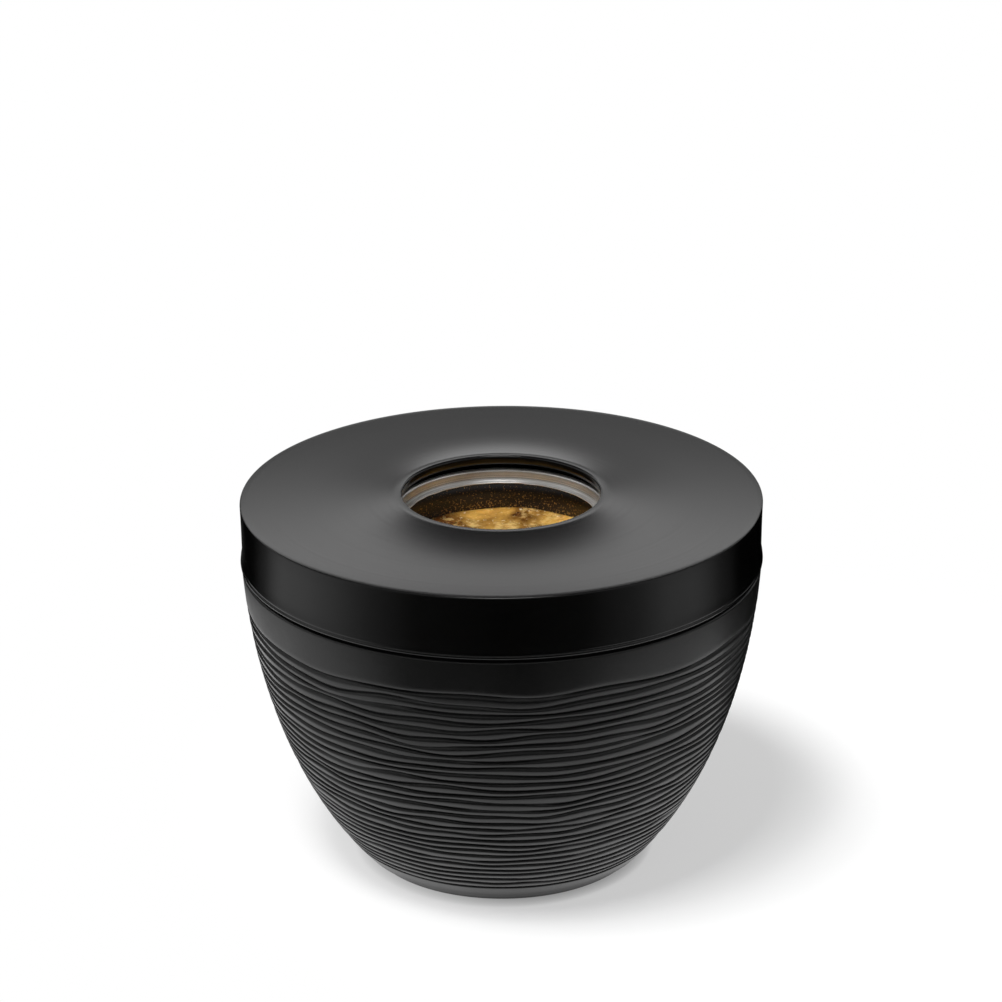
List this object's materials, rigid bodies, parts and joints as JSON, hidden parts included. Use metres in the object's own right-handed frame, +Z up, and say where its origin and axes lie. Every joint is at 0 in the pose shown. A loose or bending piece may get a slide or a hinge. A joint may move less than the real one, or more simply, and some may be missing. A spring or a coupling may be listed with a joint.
{
  "type": "tabletop gel fuel fire pit",
  "caption": "Round black tabletop fire bowl with a ridged cast wall, a flat dark metal lid with a flame hole, and an open gel fuel can held under it.",
  "frame": {"origin": "centre of the base, on the table, under the foot pads", "axes": "+Z up along the axis of the bowl; the object is round, so +X and +Y only place the pads and legs"},
  "size_m": [0.21, 0.21, 0.1544],
  "materials": {
    "dark_stoneware": "satin black over a cast, ridged wall with fine grain",
    "dark_lid_steel": "smooth satin dark grey coating on spun steel",
    "can_steel": "bright tinplate with faint rolling lines",
    "fuel_gel": "wet amber gel with small bubbles",
    "cradle_steel": "dull zinc-plated strip",
    "screw_steel": "bright zinc",
    "insert_brass": "plain turned brass",
    "foot_rubber": "matt rubber",
    "rim_silicone": "matt heat-proof silicone"
  },
  "bodies": {
    "bowl": {"bowl_shell": "dark_stoneware", "foot_pad_1": "foot_rubber", "foot_pad_2": "foot_rubber", "foot_pad_3": "foot_rubber", "foot_pad_4": "foot_rubber", "rim_bumper_1": "rim_silicone", "rim_bumper_2": "rim_silicone", "rim_bumper_3": "rim_silicone", "rim_bumper_4": "rim_silicone", "cradle_dish": "cradle_steel", "cradle_leg_1": "cradle_steel", "cradle_leg_2": "cradle_steel", "cradle_leg_3": "cradle_steel", "cradle_rivets": "cradle_steel", "leg_screws": "screw_steel", "leg_washers": "screw_steel", "floor_inserts": "insert_brass"},
    "lid": {"lid_plate": "dark_lid_steel"},
    "fuel_can": {"can_body": "can_steel", "can_bottom_end": "can_steel", "can_top_ring": "can_steel", "gel_fuel": "fuel_gel"}
  },
  "joints": [
    {"name": "lid_lift", "type": "slide", "parent": "bowl", "child": "lid", "axis": [0, 0, 1], "range_m": [0, 0.185]},
    {"name": "can_lift", "type": "slide", "parent": "bowl", "child": "fuel_can", "axis": [0, 0, 1], "range_m": [0, 0.111]}
  ],
  "couplings": [
    {"joint": "can_lift", "follows": "lid_lift", "ratio": 0.6}
  ]
}
